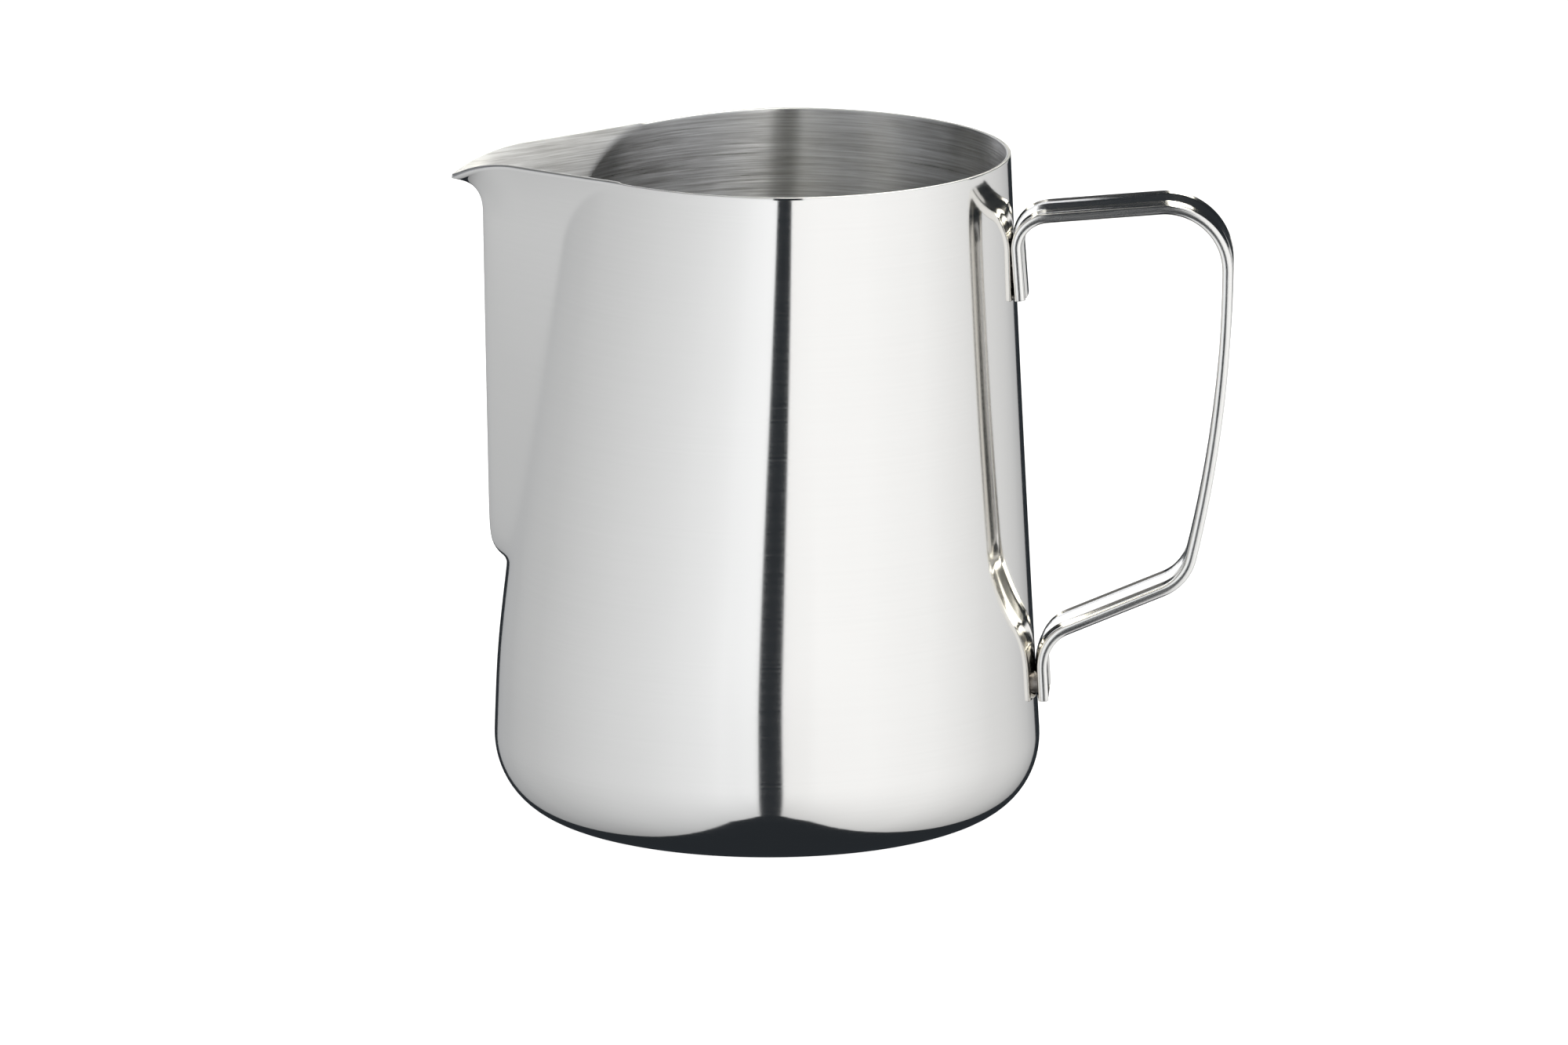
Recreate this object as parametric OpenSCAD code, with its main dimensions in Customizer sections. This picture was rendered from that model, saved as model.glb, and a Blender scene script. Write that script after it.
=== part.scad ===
// Milk frothing pitcher: a deep-drawn stainless steel vessel with a pressed V spout
// and a bent strap handle held to the wall by spot welds.
// The origin is the centre of the base on the table. +X points to the handle,
// -X to the spout, +Z up.

/* [Vessel] */
// Height of the rim above the table
rim_h = 110; // [106:1:116]
// Radius at which the wall, carried straight down, would meet the table
foot_r = 45.7; // [45.2:0.1:46.2]
// Radius of the mouth on the handle side
mouth_r = 39.7; // [39:0.1:41]
// How far the handle side bows inward between foot and mouth
wall_bow = 0.26; // [0:0.02:0.5]
// Radius of the round mouth on the spout side, before the spout is pressed
front_mouth_r = 37; // [36:0.1:38]
// How far the spout side bows inward between waist and mouth
front_bow = 0.6; // [0:0.1:1]
// How far pressing the spout draws in the wall beside it, at the rim
flat_draw = 3.3; // [3:0.1:4.2]
// Height at which the spout side starts to lean back
waist_h = 26.8; // [25:0.1:29]
// Width of the rounded corner between wall and base
corner_w = 11.8; // [10:0.1:13]
// Height of the same corner
corner_h = 13.2; // [11:0.2:14]
// Thickness of the sheet
sheet = 0.7; // [0.6:0.1:0.9]
// Radius of the shallow coined disc under the base
coin_r = 25; // [20:1:30]
// Depth of the coined disc
coin_depth = 0.2; // [0.1:0.05:0.3]

/* [Spout] */
// Reach of the lip from the axis
lip_reach = 51.8; // [50.5:0.1:52.5]
// Distance of the spout's ridge from the axis just below the lip
ridge_r = 46.7; // [46:0.1:48]
// How much the ridge draws in from there down to the foot of the spout
ridge_draw = 0.7; // [0:0.1:1]
// Height of the spout's foot, where the ridge runs out into the wall
spout_foot_h = 41.6; // [40:0.2:44]
// Height above which the lip curls outward
curl_h = 98; // [96:1:100]
// How far the tip of the lip lies below the rim at the handle
tip_drop = 4.8; // [3.5:0.1:6]
// Angle of each flank to the ridge, at the foot
foot_flank = 64.5; // [62:0.5:68]
// Nose radius of the ridge at the rim
rim_nose = 3.1; // [2.5:0.1:4]
// Nose radius of the ridge at the foot
foot_nose = 5; // [4:0.2:6]
// Softness of the crease between flank and wall, at the foot
crease = 0.6; // [0.4:0.1:1]

/* [Handle] */
// Width of the strap
strap_w = 12.5; // [11:0.5:14]
// Thickness of the strap
strap_t = 1.7; // [1.5:0.1:2]
// Height at which the upper tab leaves the wall
upper_tab_h = 95.1; // [90:0.1:96]
// Length of the upper tab
upper_tab_len = 8.4; // [7:0.1:10]
// Lean of the upper tab away from upright
upper_tab_lean = 4.4; // [4:0.1:5]
// Rise of the upper arm above level
arm_rise = 5; // [0:0.1:8]
// Straight length of the upper arm
arm_len = 18.4; // [16:0.1:24]
// Bend radius where the upper tab turns into the arm
upper_tab_bend = 5.1; // [4:0.1:6]
// Bend radius at the top of the grip
shoulder_bend = 10.2; // [8:0.1:12]
// Length of the gently curved grip
grip_len = 48.6; // [42:0.2:50]
// Turn of the grip along that length
grip_turn = 13; // [10:0.1:15]
// Bend radius at the bottom of the grip
heel_bend = 8; // [7:0.1:11]
// Slope of the lower arm below level, going in to the wall
lower_slope = 23.1; // [20:0.1:28]
// Bend radius where the lower arm turns into its tab
lower_tab_bend = 7; // [4:0.1:8]
// Length of the lower tab
lower_tab_len = 5.2; // [4.6:0.1:8]

/* [Spot welds] */
// Diameter of a weld nugget
weld_d = 3.6; // [3:0.2:5]
// Distance of each nugget from the middle of the strap
weld_y = 3; // [2.4:0.2:3.4]

/* [Hidden] */
$fn = 48;

// Columns of the shell from the spout round to the handle; they crowd at the nose
half_columns = 32;
crowding = 1.4;
corner_steps = 5;
// Heights of the shell's rings above the corner, closest where the spout swells out
ring_h = [20, 26, 31, 35, 38, 40, 41.5, 43, 45, 48, 53, 60, 68, 77, 87, 98, 102, 105, 107,
          108.4, 109.3, 110];

// Height of the rounded edge of the rim
crown_h = sheet / 4;
// How softly the upright foot of the spout side turns into its leaning wall
waist_soft = 0.6;
// Draw of the spout side from the table up to the waist
front_draw = 0.03;
// Ridge of the spout at its foot: how far it falls to the wall, and how quickly
foot_fall = 2.7;
foot_fade = 1.5;
// Angles from the spout between which the drawn-in wall comes back to round
flat_span = [100, 45];
// Where the rim's fall towards the spout starts and ends, and how deep it is
rim_fall = [0, -51, 1.2];
// Where the lip's last fall to its tip starts
tip_fall_at = -41;
// Half-width, in degrees, of the part of the lip that curls the most
curl_span = 5;
// The tabs are pressed round the wall: how fully, 0 to 1, along each straight of the strap and at the
// end of its bend
tab_press = [[1, 0], [0, 0], [0, 0], [0, 0], [0, 1], [1, 1]];
// Facets round a strap edge, and degrees of a bend between two rings of the strap
edge_steps = 6;
bend_step = 8;
// Sharpest crease between flank and wall
least_crease = 0.02;
// Shape of the strap's edges: 1 is a half circle, less is squarer
edge_power = 0.5;
// Gap between strap and wall where they are closest
weld_gap = 0.03;
// Depth of a nugget in the strap and in the wall
weld_seat = [0.45 * strap_t, 0.6 * sheet];
// Half of the span, in millimetres and in degrees, over which the wall's slope is taken
probe = 0.2;
// Two heights on the wall beside the lower tab
lower_tab_heights = [20, 30];

function mix(a, b, t) = a + (b - a) * t;
function ramp(t) = let(u = min(max(t, 0), 1)) u * u * (3 - 2 * u);
function soft_plus(d, k) = (d + sqrt(d * d + k * k)) / 2;
function soft_min(a, b, k) = a - soft_plus(a - b, k);

// Radius of the wall at height h on the handle side and on the spout side
function back_r(h) = mix(foot_r, mouth_r, h / rim_h) - 4 * wall_bow * h * (rim_h - h) / (rim_h * rim_h);
front_waist_r = foot_r - front_draw * waist_h;
function up_from_waist(h) = (h - waist_h) / (rim_h - waist_h);
function front_r(h) = let(t = up_from_waist(h)) soft_min(foot_r - front_draw * h,
    mix(front_waist_r, front_mouth_r, t) - 4 * front_bow * t * (1 - t), waist_soft);
function round_r(h) = (back_r(h) + front_r(h)) / 2;
function round_x(h) = (back_r(h) - front_r(h)) / 2;
// How far the wall is drawn in at height h beside the spout
function drawn_in(h) = flat_draw * pow(max(up_from_waist(h), 0), 2);

// How far up the spout a height is: 1 at its foot, 0 at the rim
function depth_in_spout(h) = max(rim_h - h, 0) / (rim_h - spout_foot_h);
// At the rim the flanks run from the nose as tangents of the drawn-in wall
rim_flank = asin((round_r(rim_h) - flat_draw - rim_nose) / (lip_reach - rim_nose + round_x(rim_h)));
function flank(h) = mix(rim_flank, foot_flank, pow(depth_in_spout(h), 1.2));
function nose(h) = mix(rim_nose, foot_nose, depth_in_spout(h));
function curl(a, h) = let(s = max(h - curl_h, 0) / (rim_h - curl_h),
    middle = exp(-pow(a / curl_span, 2)))
    mix(pow(s, 1.6), 0.6 * pow(s, 3.6) + 0.4 * pow(s, 18), middle);
function ridge(a, h) = ridge_r - ridge_draw * max(curl_h - h, 0) / (curl_h - spout_foot_h)
    - foot_fall * exp((spout_foot_h - h) / foot_fade)
    + (lip_reach - ridge_r) * curl(a, h);

// Plan radius at angle a from the spout: a circle drawn in beside the spout, and two flanks that
// meet in a nose
function round_wall_r(a, h) = let(x = round_x(h), r = round_r(h))
    -x * cos(a) + sqrt(r * r - pow(x * sin(a), 2))
    - drawn_in(h) * ramp((flat_span[0] - abs(a)) / (flat_span[0] - flat_span[1]));
function wedge_r(a, h) = let(f = flank(h), n = nose(h) * (1 / sin(f) - 1), apex = ridge(a, h) + n,
    blunt = n * tan(f) / apex * 180 / PI)
    apex * sin(f) / sin(sqrt(a * a + blunt * blunt) + f);
function flank_end(h) = let(f = flank(h), r = round_r(h) - drawn_in(h))
    atan2(r * cos(f), r * sin(f) - round_x(h));
function bulge(a, h) = soft_plus(wedge_r(a, h) - round_wall_r(a, h),
    crease * depth_in_spout(h) + least_crease);
function plan_r(a, h) = round_wall_r(a, h)
    + (h > spout_foot_h - 4 && abs(a) < flank_end(h) ? bulge(abs(a), h) - bulge(flank_end(h), h) : 0);

// Height of the rim at angle a, and the real height of a ring: rings above the curl follow the rim
function rim_z(a) = let(x = -plan_r(a, rim_h) * cos(a))
    rim_h - crown_h - rim_fall[2] * ramp((rim_fall[0] - x) / (rim_fall[0] - rim_fall[1]))
    - (tip_drop - rim_fall[2]) * pow(max(tip_fall_at - x, 0) / (lip_reach + tip_fall_at), 2);
function ring_z(a, h) = h <= curl_h ? h : mix(curl_h, rim_z(a), (h - curl_h) / (rim_h - curl_h));

function wall_point(a, h) = let(r = plan_r(a, h)) [-r * cos(a), r * sin(a), ring_z(a, h)];
function unit(v) = v / norm(v);
function wall_normal(a, h) = let(top = min(h + probe, rim_h))
    unit(cross(wall_point(a, top) - wall_point(a, top - 2 * probe),
        wall_point(a + probe, h) - wall_point(a - probe, h)));

// Rounded corner, a quarter ellipse: t is 0 at the base and 90 at the wall
function corner_point(a, t, skin) = let(z = corner_h - (corner_h - skin) * cos(t),
    r = plan_r(a, z) - corner_w + (corner_w - skin) * sin(t)) [-r * cos(a), r * sin(a), z];

columns = [for (i = [-half_columns + 1:half_columns])
    sign(i) * 180 * pow(abs(i) / half_columns, crowding)];
bends = [for (i = [0:corner_steps]) 90 * i / corner_steps];

function corner_rings(skin) = [for (t = bends) [for (a = columns) corner_point(a, t, skin)]];
function wall_rings(skin) = [for (h = ring_h)
    [for (a = columns) wall_point(a, h) - skin * wall_normal(a, h)]];
rim_crown = [for (s = [0.25, 0.75]) [for (a = columns)
    wall_point(a, rim_h) - s * sheet * wall_normal(a, rim_h) + [0, 0, crown_h]]];

function reversed(list) = [for (i = [len(list) - 1:-1:0]) list[i]];
shell_rings = concat(corner_rings(0), wall_rings(0), rim_crown,
    reversed(wall_rings(sheet)), reversed(corner_rings(sheet)));

// A closed skin over a stack of rings, with a flat cap at each end
module skin_over(rings) {
    n = len(rings[0]);
    points = [for (ring = rings) for (p = ring) p];
    sides = [for (k = [0:len(rings) - 2]) for (i = [0:n - 1])
        let(j = (i + 1) % n, a = k * n + i, b = k * n + j)
        each [[a, a + n, b + n], [a, b + n, b]]];
    first = [for (i = [0:n - 1]) i];
    last = [for (i = [n - 1:-1:0]) (len(rings) - 1) * n + i];
    polyhedron(points, concat([first], sides, [last]));
}

// Strap: each step is [straight length, turn in degrees, bend radius], clockwise turns positive
grip_bend = grip_len / (grip_turn * PI / 180);
lower_tab_lean = atan((back_r(lower_tab_heights[0]) - back_r(lower_tab_heights[1]))
    / (lower_tab_heights[1] - lower_tab_heights[0]));
function strap_steps(lower_arm) = [
    [upper_tab_len, 90 + upper_tab_lean - arm_rise, upper_tab_bend],
    [arm_len, 90 + arm_rise, shoulder_bend],
    [0, grip_turn, grip_bend],
    [0, 90 - grip_turn - lower_slope, heel_bend],
    [lower_arm, -(90 - lower_slope + lower_tab_lean), lower_tab_bend],
    [lower_tab_len, 0, 0]];
function turned(steps, i) = i == 0 ? 0 : turned(steps, i - 1) + steps[i - 1][1];
function heading(steps, i) = 90 + upper_tab_lean - turned(steps, i);
function along(d) = [cos(d), 0, sin(d)];
function bend_move(step, d) = let(s = sign(step[1]), e = d - step[1])
    s * step[2] * ([sin(d), 0, -cos(d)] - [sin(e), 0, -cos(e)]);
function start(steps, i) = i == 0 ? upper_tab_end : let(k = i - 1, d = heading(steps, k))
    start(steps, k) + steps[k][0] * along(d) + bend_move(steps[k], d);

// Distance of the strap's middle from the wall it is welded to
stand_off = strap_t / 2 + weld_gap;
upper_tab_end = [back_r(upper_tab_h) + stand_off, 0, upper_tab_h]
    - upper_tab_len * along(90 + upper_tab_lean);
// The lower arm is as long as it has to be for its tab to lie on the wall
lower_tab = 5;
no_arm = start(strap_steps(0), lower_tab);
arm_step = start(strap_steps(1), lower_tab) - no_arm;
wall_slope = -tan(lower_tab_lean);
tab_gap = no_arm[0] - stand_off - back_r(no_arm[2]);
lower_arm_len = tab_gap / (wall_slope * arm_step[2] - arm_step[0]);
strap = strap_steps(lower_arm_len);

upper_weld = upper_tab_end + 0.5 * upper_tab_len * along(90 + upper_tab_lean);
lower_weld = start(strap, lower_tab) + 0.5 * lower_tab_len * along(heading(strap, lower_tab));

// Places along the strap, each [position, heading, press]: both ends of every straight and of every
// bend, and steps of a few degrees round the bends
function bend_cuts(step) = ceil(abs(step[1]) / bend_step);
function places(steps, i) = let(step = steps[i], d = heading(steps, i), press = tab_press[i],
    from = start(steps, i) + step[0] * along(d), cuts = bend_cuts(step)) concat(
    step[0] > 0 ? [[start(steps, i), d, press[0]]] : [],
    cuts == 0 ? [[from, d, press[1]]] : [for (k = [0:cuts - 1]) let(e = d - step[1] * k / cuts)
        [from + bend_move([0, d - e, step[2]], d), e, mix(press[0], press[1], ramp(k / cuts))]]);

// Strap section: [through the thickness, across the width], with rounded edges
function squarer(v) = sign(v) * pow(abs(v), edge_power) * strap_t / 2;
strap_section = [for (s = [-1, 1]) for (k = [0:edge_steps]) let(t = 90 * s - 90 + 180 * k / edge_steps)
    [squarer(cos(t)), s * (strap_w - strap_t) / 2 + squarer(sin(t))]];
// How far the wall falls away from its tangent at a distance y from the middle of the strap
function wall_fall(y, h) = let(r = round_r(h) + stand_off) r - sqrt(r * r - y * y);
function strap_ring(place) = [for (p = strap_section)
    place[0] + (place[2] * wall_fall(p[1], place[0][2]) - p[0]) * along(place[1] + 90) + [0, p[1], 0]];
strap_rings = [for (i = [0:len(strap) - 1]) for (place = places(strap, i)) strap_ring(place)];

// Two nuggets side by side, each seated in the strap and in the wall
module weld_pair(place) {
    inner_x = back_r(place[2]) - weld_seat[1];
    outer_x = place[0] - strap_t / 2 + weld_seat[0];
    for (s = [-1, 1]) translate([inner_x, s * weld_y, place[2]])
        rotate([0, 90, 0]) cylinder(d = weld_d, h = outer_x - inner_x);
}

module vessel() color("silver") difference() {
    skin_over(shell_rings);
    translate([0, 0, -1]) cylinder(r = coin_r, h = 1 + coin_depth);
    weld_pair(upper_weld);
    weld_pair(lower_weld);
}

module handle_strap() color("lightgray") difference() {
    skin_over(strap_rings);
    weld_pair(upper_weld);
    weld_pair(lower_weld);
}

module upper_spot_welds() color("slategray") weld_pair(upper_weld);

module lower_spot_welds() color("slategray") weld_pair(lower_weld);

vessel();
handle_strap();
upper_spot_welds();
lower_spot_welds();
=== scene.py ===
"""Milk frothing pitcher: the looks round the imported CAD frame.

The vessel and the strap are built again at a finer resolution, from the rules that shape the CAD nodes.
Lengths are in millimetres until a mesh is made, and in metres from there on.
"""
import math

import bpy
import numpy as np
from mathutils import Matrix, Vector


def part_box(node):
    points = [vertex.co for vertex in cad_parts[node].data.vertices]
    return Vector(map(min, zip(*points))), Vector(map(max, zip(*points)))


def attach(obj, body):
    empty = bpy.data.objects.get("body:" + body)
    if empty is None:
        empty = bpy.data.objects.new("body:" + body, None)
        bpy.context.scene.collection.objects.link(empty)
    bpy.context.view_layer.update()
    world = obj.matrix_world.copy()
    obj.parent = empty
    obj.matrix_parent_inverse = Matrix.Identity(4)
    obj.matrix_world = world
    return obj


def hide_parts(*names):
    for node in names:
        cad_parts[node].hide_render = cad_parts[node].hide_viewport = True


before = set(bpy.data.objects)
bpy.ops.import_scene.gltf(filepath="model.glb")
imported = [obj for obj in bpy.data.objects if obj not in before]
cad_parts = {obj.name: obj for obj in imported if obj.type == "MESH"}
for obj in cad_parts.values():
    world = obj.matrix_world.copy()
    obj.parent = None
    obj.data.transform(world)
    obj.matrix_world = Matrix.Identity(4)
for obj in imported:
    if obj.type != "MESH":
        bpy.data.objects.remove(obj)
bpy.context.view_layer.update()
MM = 0.001
cad_rim_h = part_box("vessel")[1][2] / MM

# ---------------------------------------------------------------- driving dimensions, in millimetres
# Vessel
# The crown of the rim is cut off a little by the CAD facets
rim_h = cad_rim_h + 0.008
foot_r = 45.7
mouth_r = 39.7
wall_bow = 0.26
front_mouth_r = 37.0
front_bow = 0.6
front_draw = 0.03
flat_draw = 3.3
flat_from, flat_to = 100.0, 45.0
waist_h = 26.8
waist_soft = 0.6
corner_w = 11.8
corner_h = 13.2
sheet = 0.7
crown_h = sheet / 4
coin_r = 25.0
coin_depth = 0.2
coin_edge = 0.5

# Spout
lip_reach = 51.8
ridge_r = 46.7
ridge_draw = 0.7
spout_foot_h = 41.6
curl_h = 98.0
curl_span = 5.0
tip_drop = 4.8
foot_flank = 64.5
flank_ease = 1.2
rim_nose = 3.1
foot_nose = 5.0
crease = 0.6
least_crease = 0.02
foot_fall, foot_fade = 2.7, 1.5
rim_fall_from, rim_fall_to, rim_fall = 0.0, -51.0, 1.2
tip_fall_at = -41.0

# Strap
strap_w = 12.5
strap_t = 1.7
edge_power = 0.5
upper_tab_h = 95.1
upper_tab_len = 8.4
upper_tab_lean = 4.4
arm_rise = 5.0
arm_len = 18.4
upper_tab_bend = 5.1
shoulder_bend = 10.2
grip_len = 48.6
grip_turn = 13.0
heel_bend = 8.0
lower_slope = 23.1
lower_tab_bend = 7.0
lower_tab_len = 5.2
weld_gap = 0.03
lower_tab_heights = 20, 30

# Vessel mesh: columns from the spout round to the handle, which crowd at the nose, and rings
HALF_COLUMNS = 170
CROWDING = 1.25
CORNER_RINGS = 20
WALL_STRETCHES = (corner_h, 36, 20), (36, 50, 25), (50, 94, 34), (94, rim_h, 34)
DISC_RADII = 4, 10, 16, 21, coin_r - 1.2, coin_r - coin_edge
BASE_RADII = 27.5, 30.5, foot_r - corner_w - 0.6
FLOOR_RADII = 30, 24, 18, 12, 6
CROWN_SHARES = 0.04, 0.15, 0.3, 0.5, 0.7, 0.85, 0.96
COIN_STEPS = 6
# Half of the span, in millimetres and in degrees, over which the wall's slope is taken
NORMAL_PROBE = 0.05

# Strap mesh: length of a step on a straight, degrees times millimetres of a step round a bend, and the
# radius below which a bend is not divided less; then the rounding of the ends of its tabs
STRAIGHT_STEP = 1.0
BEND_STEP, BEND_LEAST_R = 40, 8
TAB_EASE = 0.1
TAB_EASE_STEPS = 0.0, 0.3, 0.65

# What the bands of the vessel's skin are made of: places in its list of materials
WALL, BRUSHED, UNDER, RIM, FLOOR = range(5)


# ---------------------------------------------------------------- shape of the vessel
def mix(a, b, t):
    return a + (b - a) * t


def ramp(t):
    u = np.clip(t, 0, 1)
    return u * u * (3 - 2 * u)


def soft_plus(d, k):
    return (d + np.sqrt(d * d + k * k)) / 2


def back_radius(h):
    return mix(foot_r, mouth_r, h / rim_h) - 4 * wall_bow * h * (rim_h - h) / rim_h**2


def up_from_waist(h):
    return (h - waist_h) / (rim_h - waist_h)


def front_radius(h):
    t = up_from_waist(h)
    upright = foot_r - front_draw * h
    leaning = mix(foot_r - front_draw * waist_h, front_mouth_r, t) - 4 * front_bow * t * (1 - t)
    return upright - soft_plus(upright - leaning, waist_soft)


def round_radius(h):
    return (back_radius(h) + front_radius(h)) / 2


def round_centre(h):
    return (back_radius(h) - front_radius(h)) / 2


def drawn_in(h):
    return flat_draw * np.maximum(up_from_waist(h), 0) ** 2


def depth_in_spout(h):
    """1 at the foot of the spout, 0 at the rim."""
    return np.maximum(rim_h - h, 0) / (rim_h - spout_foot_h)


def flank_angle(h):
    inner = round_radius(rim_h) - flat_draw
    at_rim = math.degrees(math.asin((inner - rim_nose) / (lip_reach - rim_nose + round_centre(rim_h))))
    return np.radians(mix(at_rim, foot_flank, depth_in_spout(h) ** flank_ease))


def ridge_radius(a, h):
    s = np.clip((h - curl_h) / (rim_h - curl_h), 0, 1)
    middle = np.exp(-((a / curl_span) ** 2))
    curl = mix(s**1.6, 0.6 * s**3.6 + 0.4 * s**18, middle)
    drawn = ridge_draw * np.maximum(curl_h - h, 0) / (curl_h - spout_foot_h)
    foot = foot_fall * np.exp(np.minimum((spout_foot_h - h) / foot_fade, 6))
    return ridge_r - drawn - foot + (lip_reach - ridge_r) * curl


def round_wall_radius(a, h):
    x, r, turn = round_centre(h), round_radius(h), np.radians(a)
    circle = -x * np.cos(turn) + np.sqrt(r * r - (x * np.sin(turn)) ** 2)
    return circle - drawn_in(h) * ramp((flat_from - a) / (flat_from - flat_to))


def bulge(a, h):
    """How far the two flanks and their nose stand out of the round wall at angle a."""
    f = flank_angle(h)
    nose = mix(rim_nose, foot_nose, depth_in_spout(h)) * (1 / np.sin(f) - 1)
    apex = ridge_radius(a, h) + nose
    blunt = nose * np.tan(f) / apex
    wedge = apex * np.sin(f) / np.sin(np.sqrt(np.radians(a) ** 2 + blunt**2) + f)
    return soft_plus(wedge - round_wall_radius(a, h), crease * depth_in_spout(h) + least_crease)


def plan_radius(a, h):
    a, h = np.broadcast_arrays(np.abs(np.asarray(a, float)), np.asarray(h, float))
    f = flank_angle(h)
    inner = round_radius(h) - drawn_in(h)
    end = np.degrees(np.arctan2(inner * np.cos(f), inner * np.sin(f) - round_centre(h)))
    in_spout = (h > spout_foot_h - 4) & (a < end)
    return round_wall_radius(a, h) + np.where(in_spout, bulge(np.minimum(a, end), h) - bulge(end, h), 0)


def rim_height(a):
    x = -plan_radius(a, rim_h) * np.cos(np.radians(a))
    gentle = rim_fall * ramp((rim_fall_from - x) / (rim_fall_from - rim_fall_to))
    tip = (tip_drop - rim_fall) * (np.maximum(tip_fall_at - x, 0) / (lip_reach + tip_fall_at)) ** 2
    return rim_h - crown_h - gentle - tip


def place(a, r, z):
    turn = np.radians(a)
    return np.stack([-r * np.cos(turn), r * np.sin(turn), z + 0 * r], -1)


def wall_point(a, h):
    z = np.where(h <= curl_h, h, mix(curl_h, rim_height(a), (h - curl_h) / (rim_h - curl_h)))
    return place(a, plan_radius(a, h), z)


def wall_normal(a, h):
    top = min(h + NORMAL_PROBE, rim_h)
    rise = wall_point(a, top) - wall_point(a, top - 2 * NORMAL_PROBE)
    round_ = wall_point(a + NORMAL_PROBE, h) - wall_point(a - NORMAL_PROBE, h)
    n = np.cross(rise, round_)
    return n / np.linalg.norm(n, axis=-1, keepdims=True)


def corner_point(a, turn, skin):
    z = corner_h - (corner_h - skin) * math.cos(turn)
    r = plan_radius(a, z) - corner_w + (corner_w - skin) * math.sin(turn)
    return place(a, r, z)


# ---------------------------------------------------------------- mesh helpers
def link(obj):
    bpy.context.scene.collection.objects.link(obj)
    return obj


def skin_mesh(name, rings, tags, materials, uv_rings=None, centres=None):
    """A closed skin over a stack of rings. tags[k] is the material of the band from ring k to ring k + 1.

    centres are the two points that the end caps meet in; without them the ends are flat faces."""
    count = len(rings[0])
    verts = [p for ring in rings for p in ring]
    faces, slots = [], []
    for k in range(len(rings) - 1):
        for i in range(count):
            j = (i + 1) % count
            faces.append((k * count + i, k * count + j, (k + 1) * count + j, (k + 1) * count + i))
            slots.append(tags[k])
    last = (len(rings) - 1) * count
    if centres is None:
        faces += [tuple(reversed(range(count))), tuple(range(last, last + count))]
        slots += [tags[0], tags[-1]]
    else:
        first_centre, last_centre = len(verts), len(verts) + 1
        verts += [np.array(c) for c in centres]
        for i in range(count):
            j = (i + 1) % count
            faces += [(first_centre, j, i), (last_centre, last + i, last + j)]
            slots += [tags[0], tags[-1]]
    mesh = bpy.data.meshes.new(name)
    mesh.from_pydata([tuple(np.array(v) * MM) for v in verts], [], faces)
    for material in materials:
        mesh.materials.append(material)
    mesh.polygons.foreach_set("material_index", slots)
    mesh.polygons.foreach_set("use_smooth", [True] * len(faces))
    if uv_rings is not None:
        layer = mesh.uv_layers.new(name="lay")
        flat = [uv for ring in uv_rings for uv in ring]
        for polygon in mesh.polygons:
            for loop, vertex in zip(polygon.loop_indices, polygon.vertices):
                layer.data[loop].uv = flat[vertex]
    mesh.validate()
    mesh.update()
    return link(bpy.data.objects.new(name, mesh))


# ---------------------------------------------------------------- materials
class Nodes:
    """A small helper that adds nodes to one node tree and links them."""

    def __init__(self, tree):
        self.tree = tree
        tree.nodes.clear()

    def add(self, kind, inputs=None, **settings):
        node = self.tree.nodes.new(kind)
        for key, value in settings.items():
            setattr(node, key, value)
        for key, value in (inputs or {}).items():
            socket = node.inputs[key]
            if isinstance(value, bpy.types.NodeSocket):
                self.tree.links.new(value, socket)
            else:
                socket.default_value = value
        return node

    def math(self, operation, *values, clamp=False):
        node = self.add("ShaderNodeMath", dict(enumerate(values)), operation=operation, use_clamp=clamp)
        return node.outputs[0]

    def stops(self, factor, stops, interpolation="LINEAR"):
        """A ramp through (position, grey or colour) stops."""
        node = self.add("ShaderNodeValToRGB", {"Fac": factor})
        node.color_ramp.interpolation = interpolation
        elements = node.color_ramp.elements
        while len(elements) < len(stops):
            elements.new(0.5)
        for element, (position, value) in zip(elements, sorted(stops, key=lambda s: s[0])):
            element.position = position
            colour = (value, value, value) if isinstance(value, (int, float)) else value
            element.color = (*colour, 1)
        return node.outputs["Color"]


# Height of the finish's lines in millimetres, and size of the faint clouds in the tone, per metre
GRAIN_DEPTH = 0.02
CLOUD_SCALE = 45.0
# Share of the lines in the tone; the clouds make up the rest
GRAIN_SHARE = 0.6


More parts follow.
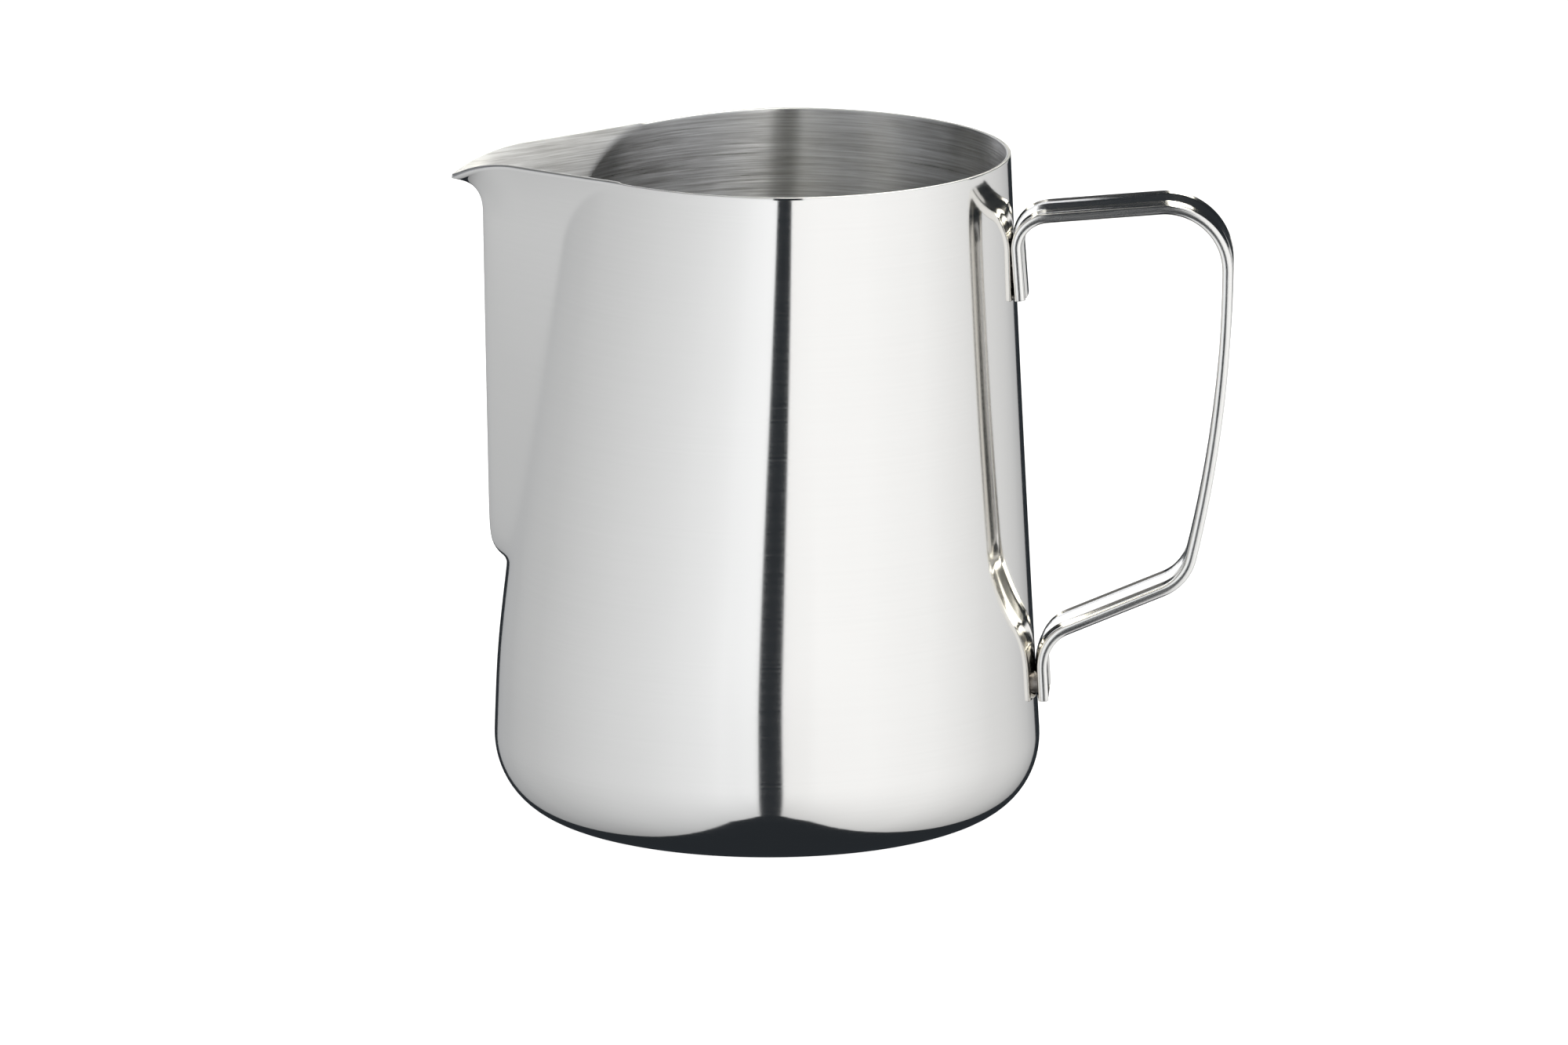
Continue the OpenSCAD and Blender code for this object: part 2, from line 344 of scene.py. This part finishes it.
def steel(name, base, rough, anisotropy, grain_scale, grain_bump, rough_swing, lay="round", rotation=0.0,
          blotch=0.02):
    """Stainless steel with a directional finish.

    grain_scale is lines per metre along and across the lay. lay is "round" for lines that run round the
    axis at one height, "turned" for circles on a flat disc, and "along" for lines that run along a strap.
    """
    material = bpy.data.materials.new(name)
    material.use_nodes = True
    n = Nodes(material.node_tree)
    if lay == "along":
        uv = n.add("ShaderNodeUVMap", uv_map="lay").outputs["UV"]
        scale = (*grain_scale, 1)
        grain_at = n.add("ShaderNodeMapping", {"Vector": uv, "Scale": scale}).outputs["Vector"]
    else:
        at = n.add("ShaderNodeTexCoord").outputs["Object"]
        if lay == "round":
            scale = (grain_scale[0], grain_scale[0], grain_scale[1])
            grain_at = n.add("ShaderNodeMapping", {"Vector": at, "Scale": scale}).outputs["Vector"]
        else:
            split = n.add("ShaderNodeSeparateXYZ", {"Vector": at})
            squares = [n.math("MULTIPLY", split.outputs[axis], split.outputs[axis]) for axis in "XY"]
            radius = n.math("SQRT", n.math("ADD", *squares))
            grain_at = n.add("ShaderNodeCombineXYZ", {
                "X": n.math("MULTIPLY", split.outputs["X"], grain_scale[0]),
                "Y": n.math("MULTIPLY", split.outputs["Y"], grain_scale[0]),
                "Z": n.math("MULTIPLY", radius, grain_scale[1])}).outputs["Vector"]
    grain = n.add("ShaderNodeTexNoise", {"Vector": grain_at, "Scale": 1.0, "Detail": 4.0, "Roughness": 0.65},
                  noise_dimensions="3D").outputs["Fac"]
    cloud_at = n.add("ShaderNodeTexCoord").outputs["Object"]
    cloud = n.add("ShaderNodeTexNoise", {
        "Vector": cloud_at, "Scale": CLOUD_SCALE, "Detail": 3.0}).outputs["Fac"]
    dark = tuple(c * (1 - blotch) for c in base)
    light = tuple(min(c * (1 + blotch), 1) for c in base)
    tone = n.math("ADD", n.math("MULTIPLY", grain, GRAIN_SHARE),
                  n.math("MULTIPLY", cloud, 1 - GRAIN_SHARE))
    colour = n.stops(tone, [(0.35, dark), (0.65, light)])
    roughness = n.stops(grain, [(0.3, rough - rough_swing), (0.7, rough + rough_swing)])
    bump = n.add("ShaderNodeBump", {
        "Height": grain, "Strength": grain_bump, "Distance": GRAIN_DEPTH * MM}).outputs["Normal"]
    tangent = n.add("ShaderNodeTangent", direction_type="RADIAL", axis="Z").outputs["Tangent"]
    shader = n.add("ShaderNodeBsdfPrincipled", {
        "Base Color": colour, "Metallic": 1.0, "Roughness": roughness, "Normal": bump,
        "Anisotropic": anisotropy, "Anisotropic Rotation": rotation})
    if lay != "along":
        n.tree.links.new(tangent, shader.inputs["Tangent"])
    n.add("ShaderNodeOutputMaterial", {"Surface": shader.outputs["BSDF"]})
    return material


polished = steel("polished_wall", (0.80, 0.785, 0.755), 0.075, 0.3, (25, 2600), 0.05, 0.02, blotch=0.01)
brushed = steel("brushed_inside", (0.78, 0.765, 0.735), 0.35, 1.0, (60, 2600), 0.6, 0.08, rotation=0.25,
                blotch=0.45)
ground = steel("ground_rim", (0.70, 0.70, 0.69), 0.40, 0.3, (60, 3000), 0.1, 0.06)
turned = steel("turned_base", (0.74, 0.74, 0.72), 0.25, 0.5, (20, 2600), 0.3, 0.06, lay="turned", blotch=0.05)
tumbled = steel("tumbled_strap", (0.80, 0.785, 0.755), 0.14, 0.0, (60, 1500), 0.05, 0.03, lay="along",
                blotch=0.01)
# Dark steel for the spot welds: painted shade, so that they sink into the shadow of the gap under the tabs
gap_shaded_weld = steel("weld_painted_shade", (0.42, 0.39, 0.36), 0.42, 0.0, (400, 400), 0.4, 0.1)


# ---------------------------------------------------------------- vessel
def vessel_rings():
    i = np.arange(-HALF_COLUMNS + 1, HALF_COLUMNS + 1)
    a = np.sign(i) * 180 * (np.abs(i) / HALF_COLUMNS) ** CROWDING
    heights = np.unique(np.concatenate([np.linspace(*stretch) for stretch in WALL_STRETCHES]))[1:]
    turns = np.linspace(0, math.pi / 2, CORNER_RINGS)
    step = np.linspace(0, 1, COIN_STEPS)[1:]

    def level(r, z):
        return place(a, np.full_like(a, r), z)

    under = [level(r, coin_depth) for r in DISC_RADII]
    under += [level(coin_r - coin_edge + 2 * coin_edge * s, coin_depth * (1 - ramp(s))) for s in step]
    under += [level(r, 0.0) for r in BASE_RADII]
    outside = [corner_point(a, t, 0) for t in turns] + [wall_point(a, h) for h in heights]
    normals = wall_normal(a, rim_h)
    edge = wall_point(a, rim_h)
    crown = [edge - s * sheet * normals + np.array([0, 0, crown_h * math.sqrt(1 - (2 * s - 1) ** 2)])
             for s in CROWN_SHARES]
    inside = [wall_point(a, h) - sheet * wall_normal(a, h) for h in heights[::-1]]
    inside += [corner_point(a, t, sheet) for t in turns[::-1]]
    floor = [level(r, sheet) for r in FLOOR_RADII]
    tags = [UNDER] * len(under) + [WALL] * (len(outside) - 1) + [RIM] * (len(crown) + 1)
    tags += [BRUSHED] * (len(inside) - 1) + [FLOOR] * len(floor)
    return under + outside + crown + inside + floor, tags


vessel_skin, vessel_tags = vessel_rings()
vessel = skin_mesh("pitcher_vessel", vessel_skin, vessel_tags, [polished, brushed, turned, ground, turned],
                   centres=[(0, 0, coin_depth), (0, 0, sheet)])
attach(vessel, "root")
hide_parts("vessel")


# ---------------------------------------------------------------- strap
def along(heading):
    return np.array([math.cos(math.radians(heading)), 0, math.sin(math.radians(heading))])


def strap_line(lower_arm):
    """Places along the middle of the strap: [point, heading, press], and where its lower tab starts.

    press is how fully the tabs are pressed round the wall: 1 on a tab, 0 past its bend."""
    grip_bend = grip_len / math.radians(grip_turn)
    low, high = lower_tab_heights
    tab_lean = math.degrees(math.atan((back_radius(low) - back_radius(high)) / (high - low)))
    steps = [
        (upper_tab_len, 90 + upper_tab_lean - arm_rise, upper_tab_bend, 1, 0),
        (arm_len, 90 + arm_rise, shoulder_bend, 0, 0),
        (0, grip_turn, grip_bend, 0, 0),
        (0, 90 - grip_turn - lower_slope, heel_bend, 0, 0),
        (lower_arm, -(90 - lower_slope + tab_lean), lower_tab_bend, 0, 1),
        (lower_tab_len, 0, 0, 1, 1)]
    stand_off = strap_t / 2 + weld_gap
    heading = 90 + upper_tab_lean
    at = np.array([back_radius(upper_tab_h) + stand_off, 0, upper_tab_h]) - upper_tab_len * along(heading)
    line, tab_start = [(at, heading, 1)], at
    for length, turn, radius, press, next_press in steps:
        if length:
            tab_start = at
            pieces = max(int(length / STRAIGHT_STEP), 2)
            line += [(at + along(heading) * length * k / pieces, heading, press)
                     for k in range(1, pieces + 1)]
            at = at + along(heading) * length
        side = math.copysign(1, turn)
        centre = at + side * radius * along(heading - 90)
        pieces = int(abs(turn) * max(radius, BEND_LEAST_R) / BEND_STEP) + 1 if turn else 0
        for k in range(1, pieces + 1):
            now = heading - turn * k / pieces
            now_press = mix(press, next_press, ramp(k / pieces))
            line.append((centre - side * radius * along(now - 90), now, now_press))
        if turn:
            heading -= turn
            at = line[-1][0]
    return line, tab_start, tab_lean


def whole_strap_line():
    """The lower arm is as long as it has to be for its tab to lie on the wall."""
    _, none, tab_lean = strap_line(1e-9)
    _, one, _ = strap_line(1.0)
    step = one - none
    gap = none[0] - strap_t / 2 - weld_gap - back_radius(none[2])
    slope = -math.tan(math.radians(tab_lean))
    return strap_line(gap / (slope * step[2] - step[0]))[0]


def strap_section(edge_steps=16, face_steps=6):
    """[through the thickness, across the width], with rounded edges."""
    r, half = strap_t / 2, (strap_w - strap_t) / 2
    points = []

    def squarer(v):
        return math.copysign(abs(v) ** edge_power * r, v)

    for side in (-1, 1):
        for k in range(edge_steps + 1):
            t = math.radians(90 * side - 90 + 180 * k / edge_steps)
            points.append((squarer(math.cos(t)), side * half + squarer(math.sin(t))))
        points += [(side * r, side * half * (1 - 2 * k / face_steps)) for k in range(1, face_steps)]
    return points


def build_strap():
    line = whole_strap_line()
    section = strap_section()
    first, last = line[0], line[-1]
    rings, uvs, run = [], [], 0.0
    sides = [math.dist(section[i], section[i - 1]) for i in range(1, len(section))]
    girth = np.concatenate([[0], np.cumsum(sides)])

    def ring(at, heading, press, inset=0.0):
        shrink_t = 1 - inset / (strap_t / 2)
        shrink_w = 1 - inset / (strap_w / 2)
        normal = along(heading + 90)
        r = round_radius(at[2]) + strap_t / 2 + weld_gap
        return [at + (press * (r - math.sqrt(r * r - q * q)) - p * shrink_t) * normal
                + np.array([0, q * shrink_w, 0]) for p, q in section]

    def eased(end, direction, step):
        inset = TAB_EASE * (1 - math.sin(math.acos(1 - step)))
        return ring(end[0] + direction * along(end[1]) * TAB_EASE * step, end[1], 1, inset)

    rings += [eased(first, 1, step) for step in TAB_EASE_STEPS]
    inner = [(first[0] + along(first[1]) * TAB_EASE, first[1], 1)] + line[1:-1]
    inner += [(last[0] - along(last[1]) * TAB_EASE, last[1], 1)]
    rings += [ring(*spot) for spot in inner]
    rings += [eased(last, -1, step) for step in reversed(TAB_EASE_STEPS)]
    middle = [np.mean(r, axis=0) for r in rings]
    for k, point in enumerate(middle):
        run += float(np.linalg.norm(point - middle[k - 1])) if k else 0.0
        uvs.append([(run * MM, g * MM) for g in girth])
    return skin_mesh("strap_handle", rings, [0] * (len(rings) - 1), [tumbled], uvs)


strap = build_strap()
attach(strap, "root")
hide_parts("handle_strap")

# The spot welds get the dark steel with painted shade
for node in ("upper_spot_welds", "lower_spot_welds"):
    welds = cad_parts[node]
    welds.data.materials.clear()
    welds.data.materials.append(gap_shaded_weld)


# ---------------------------------------------------------------- camera
CAMERA_AZIMUTH, CAMERA_ELEVATION, CAMERA_DISTANCE = 3.2, 13.13, 1.78
VIEW_WIDTH = 0.25806
VIEW_SHIFT_RIGHT, VIEW_SHIFT_DOWN = 0.00263, 0.00711


def make_camera():
    azimuth, elevation = math.radians(CAMERA_AZIMUTH), math.radians(CAMERA_ELEVATION)
    back = Vector((math.sin(azimuth) * math.cos(elevation), -math.cos(azimuth) * math.cos(elevation),
                   math.sin(elevation)))
    right = Vector((math.cos(azimuth), math.sin(azimuth), 0))
    up = back.cross(right)
    data = bpy.data.cameras.new("camera")
    data.sensor_width = 36.0
    data.lens = data.sensor_width * CAMERA_DISTANCE / VIEW_WIDTH
    data.clip_start, data.clip_end = 0.05, 50
    camera = link(bpy.data.objects.new("camera", data))
    middle = Vector((0, 0, rim_h * MM / 2))
    camera.location = middle + right * VIEW_SHIFT_RIGHT - up * VIEW_SHIFT_DOWN + back * CAMERA_DISTANCE
    camera.rotation_mode = "QUATERNION"
    camera.rotation_quaternion = (-back).to_track_quat("-Z", "Y")
    bpy.context.scene.camera = camera


make_camera()


# ---------------------------------------------------------------- light tent and floor
# The tent stands square to the camera: u points to the camera's right, v towards the camera, w up.
TENT_AZIMUTH = 3.2


def tent_place(u, v, w):
    """A point of the tent, given in millimetres, in metres of the frame."""
    sine, cosine = math.sin(math.radians(TENT_AZIMUTH)), math.cos(math.radians(TENT_AZIMUTH))
    return MM * (u * cosine + v * sine), MM * (u * sine - v * cosine), MM * w


# Brightest that a side sheet and the roof can be; stops hold shares of it, because they end at 1
SHEET_FULL, ROOF_FULL = 2.0, 8.0


def diffuser(name, corners, tint, along_stops, up_stops=((0, 1), (1, 1)), full=SHEET_FULL):
    """A glowing sheet. corners run round it; the light changes along its first side and up its second."""
    mesh = bpy.data.meshes.new(name)
    mesh.from_pydata([tent_place(*corner) for corner in corners], [], [(0, 1, 2, 3)])
    layer = mesh.uv_layers.new(name="sheet")
    for loop, uv in zip(layer.data, ((0, 0), (1, 0), (1, 1), (0, 1))):
        loop.uv = uv
    material = bpy.data.materials.new(name)
    material.use_nodes = True
    n = Nodes(material.node_tree)
    at = n.add("ShaderNodeUVMap", uv_map="sheet").outputs["UV"]
    split = n.add("ShaderNodeSeparateXYZ", {"Vector": at})
    light = n.math("MULTIPLY", n.stops(split.outputs["X"], along_stops),
                   n.stops(split.outputs["Y"], up_stops))
    glow = n.add("ShaderNodeEmission", {"Color": (*tint, 1), "Strength": n.math("MULTIPLY", light, full)})
    n.add("ShaderNodeOutputMaterial", {"Surface": glow.outputs[0]})
    mesh.materials.append(material)
    sheet_obj = link(bpy.data.objects.new(name, mesh))
    sheet_obj.visible_camera = False


# Each long side of the tent is a flat sheet from TENT_FRONT back past the pitcher. In front, a flap on
# each side leaves an open slot for the camera. The foot of a flap rises towards the slot, and the slot is
# wider above FLAP_SPLIT and in the roof.
TENT_FRONT, TENT_BACK = 462, -931
TENT_FOOT, TENT_TOP = -490, 700
SLOT_FRONT, SLOT_FOOT = 520, -378
SLOT_HALF, SLOT_MIDDLE = 43, 14
ROOF_SLOT_HALF, ROOF_MIDDLE = 85, 30
FLAP_SPLIT = 130
# Behind the pitcher the sides are low
LOW_FROM, LOW_TOP = -60, 110
# Half of the tent's width beside the pitcher, and how quickly it narrows towards the camera
TENT_HALF, TENT_TAPER = 240, 0.165


def sheet_u(side, v):
    return side * (TENT_HALF - TENT_TAPER * v) + (SLOT_MIDDLE if v > 0 else ROOF_MIDDLE)


def side_sheet(name, side, tint, v_front, v_back, top, glow, above):
    """Part of a long side. glow is given by v, and above, which dims it, by w."""
    along_stops = [((v_front - v) / (v_front - v_back), value / SHEET_FULL) for v, value in glow]
    up_stops = [((w - TENT_FOOT) / (top - TENT_FOOT), value) for w, value in above]
    front, back = sheet_u(side, v_front), sheet_u(side, v_back)
    diffuser(name, [(front, v_front, TENT_FOOT), (back, v_back, TENT_FOOT),
                    (back, v_back, top), (front, v_front, top)], tint, along_stops, up_stops)


def flap(name, side, tint, at_slot, at_side, above):
    """One flap beside the slot, in two parts."""
    slot, corner = SLOT_MIDDLE + side * SLOT_HALF, sheet_u(side, TENT_FRONT)
    wide = ROOF_MIDDLE + side * ROOF_SLOT_HALF
    along_stops = [(0, at_slot / SHEET_FULL), (1, at_side / SHEET_FULL)]
    low = [((w - TENT_FOOT) / (FLAP_SPLIT - TENT_FOOT), value) for w, value in above if w <= FLAP_SPLIT]
    high = [((w - FLAP_SPLIT) / (TENT_TOP - FLAP_SPLIT), value) for w, value in above if w >= FLAP_SPLIT]
    diffuser(name + "_low", [(slot, SLOT_FRONT, SLOT_FOOT), (corner, TENT_FRONT, TENT_FOOT),
                             (corner, TENT_FRONT, FLAP_SPLIT), (slot, SLOT_FRONT, FLAP_SPLIT)],
             tint, along_stops, low)
    diffuser(name + "_high", [(wide, SLOT_FRONT, FLAP_SPLIT), (corner, TENT_FRONT, FLAP_SPLIT),
                              (corner, TENT_FRONT, TENT_TOP), (wide, SLOT_FRONT, TENT_TOP)],
             tint, along_stops, high)


def roof(name, side, tint, glow):
    """The top of the tent beside the slot. glow is given by the distance from the slot's middle."""
    far = abs(sheet_u(side, TENT_BACK) - ROOF_MIDDLE)
    stops = [((u - ROOF_SLOT_HALF) / (far - ROOF_SLOT_HALF), value / ROOF_FULL) for u, value in glow]
    near_u, far_u = ROOF_MIDDLE + side * ROOF_SLOT_HALF, ROOF_MIDDLE + side * far
    diffuser(name, [(near_u, SLOT_FRONT, TENT_TOP), (far_u, SLOT_FRONT, TENT_TOP),
                    (far_u, TENT_BACK, TENT_TOP), (near_u, TENT_BACK, TENT_TOP)],
             tint, stops, full=ROOF_FULL)


def light_tent():
    cool, warm = (0.995, 1.018, 1.055), (1.0, 1.013, 1.035)
    below = ((-490, 0.62), (-250, 0.80), (0, 1))
    low_above = (*below, (110, 1))
    right_above = (*below, (130, 1), (400, 0.9), (700, 0.85))
    left_above = (*below, (130, 1), (400, 0.3), (700, 0.12))
    side_sheet("tent_right", 1, warm, TENT_FRONT, LOW_FROM, TENT_TOP, (
        (462, 1.16), (250, 1.15), (100, 1.08), (0, 0.95), (-60, 0.87)), right_above)
    side_sheet("tent_right_low", 1, warm, LOW_FROM, TENT_BACK, LOW_TOP, (
        (-60, 0.87), (-250, 0.74), (-500, 0.60), (-931, 0.50)), low_above)
    side_sheet("tent_left", -1, cool, TENT_FRONT, LOW_FROM, TENT_TOP, (
        (462, 1.07), (250, 0.94), (100, 0.80), (0, 0.68), (-60, 0.62)), left_above)
    side_sheet("tent_left_low", -1, cool, LOW_FROM, TENT_BACK, LOW_TOP, (
        (-60, 0.62), (-250, 0.53), (-500, 0.51), (-931, 0.49)), low_above)
    flap("flap_right", 1, warm, 1.12, 1.16, right_above)
    flap("flap_left", -1, cool, 1.16, 1.07, left_above)
    roof("roof_right", 1, (1.0, 0.985, 0.90), ((85, 7.5), (160, 6.0), (270, 3.0), (393, 2.0)))
    roof("roof_left", -1, (1.0, 1.0, 0.97), ((85, 1.4), (160, 0.7), (270, 0.25), (393, 0.1)))


# Two cards behind the pitcher, which the lower arm of the handle mirrors: [left, right, foot, top]
CARD_V, CARD_GLOW = -600, 1.3
CARDS = {"card_low": (-140, 60, -40, 150), "card_high": (-450, -20, 150, 450)}


def back_cards():
    share = CARD_GLOW / SHEET_FULL
    for name, (left, right, foot, top) in CARDS.items():
        diffuser(name, [(left, CARD_V, foot), (right, CARD_V, foot),
                        (right, CARD_V, top), (left, CARD_V, top)],
                 (1, 1.01, 1.04), ((0, share), (1, share)))


def surround():
    """White behind the pitcher as the camera sees it, and dim where the steel mirrors it."""
    world = bpy.data.worlds.new("surround")
    bpy.context.scene.world = world
    world.use_nodes = True
    n = Nodes(world.node_tree)
    dim = n.add("ShaderNodeBackground", {"Color": (0.022, 0.026, 0.031, 1), "Strength": 1.0}).outputs[0]
    seen = n.add("ShaderNodeBackground", {"Color": (1, 1, 1, 1), "Strength": 1.05}).outputs[0]
    is_camera = n.add("ShaderNodeLightPath").outputs["Is Camera Ray"]
    shown = n.add("ShaderNodeMixShader", {0: is_camera, 1: dim, 2: seen}).outputs[0]
    n.add("ShaderNodeOutputWorld", {"Surface": shown})


FLOOR_R, FLOOR_DROP = 6.0, 0.0002


def pale_floor():
    # A hair below the base, so that the two flat faces don't lie in each other
    bpy.ops.mesh.primitive_circle_add(vertices=96, radius=FLOOR_R, fill_type="NGON",
                                      location=(0, 0, -FLOOR_DROP))
    floor = bpy.context.object
    floor.name = "floor"
    material = bpy.data.materials.new("pale_floor")
    material.use_nodes = True
    n = Nodes(material.node_tree)
    glow = n.add("ShaderNodeEmission", {"Color": (1, 1, 1, 1), "Strength": 0.9}).outputs[0]
    paint = n.add("ShaderNodeBsdfDiffuse", {"Color": (0.4, 0.4, 0.4, 1)}).outputs[0]
    both = n.add("ShaderNodeAddShader", {0: glow, 1: paint}).outputs[0]
    n.add("ShaderNodeOutputMaterial", {"Surface": both})
    floor.data.materials.append(material)
    floor.visible_glossy = False
    floor.visible_shadow = False


light_tent()
back_cards()
surround()
pale_floor()
bpy.context.scene.view_settings.view_transform = "Standard"
